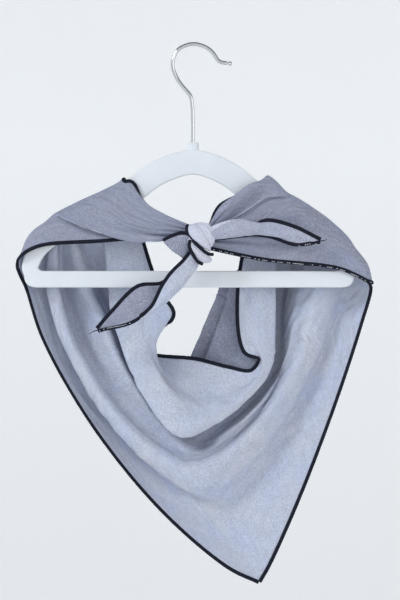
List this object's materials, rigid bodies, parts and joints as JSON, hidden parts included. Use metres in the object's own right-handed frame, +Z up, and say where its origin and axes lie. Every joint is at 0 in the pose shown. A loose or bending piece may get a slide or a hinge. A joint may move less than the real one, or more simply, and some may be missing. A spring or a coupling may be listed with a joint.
{
  "type": "neckerchief on a coat hanger",
  "caption": "Triangular neckerchief of mottled blue-grey cloth with black overlocked edges, knotted in front over a small coat hanger and hanging in cowl folds behind its bar.",
  "frame": {"origin": "the inside top of the hanger's hook, where it rests on a rail", "axes": "+Z up along the hook's stem, +Y away from the viewer of the knot, +X to the viewer's right along the hanger's bar"},
  "size_m": [0.3199, 0.083, 0.4897],
  "materials": {
    "cloth_inner": "light blue-grey melange cloth, inner face",
    "cloth_outer": "mauve-grey twill, outer face",
    "edging": "near-black overlock thread with pale under-thread",
    "hanger": "white flocked plastic",
    "hook": "polished wire"
  },
  "bodies": {
    "root": {"hanger_body": "hanger", "hanger_hook": "hook", "cowl_drape": "cloth_inner", "swag_drape": "cloth_inner", "left_front_band": "cloth_outer", "right_front_band": "cloth_outer", "knot_core": "cloth_inner", "knot_wrap": "cloth_inner", "knot_second_turn": "cloth_inner", "left_flap": "cloth_outer", "left_flap_upper_edging": "edging", "left_tail": "cloth_outer", "right_tail": "cloth_outer", "neckline_edging": "edging", "left_hem_edging": "edging", "right_hem_edging": "edging", "left_tail_upper_edging": "edging", "left_tail_lower_edging": "edging", "right_tail_upper_edging": "edging", "right_tail_lower_edging": "edging"}
  },
  "joints": []
}
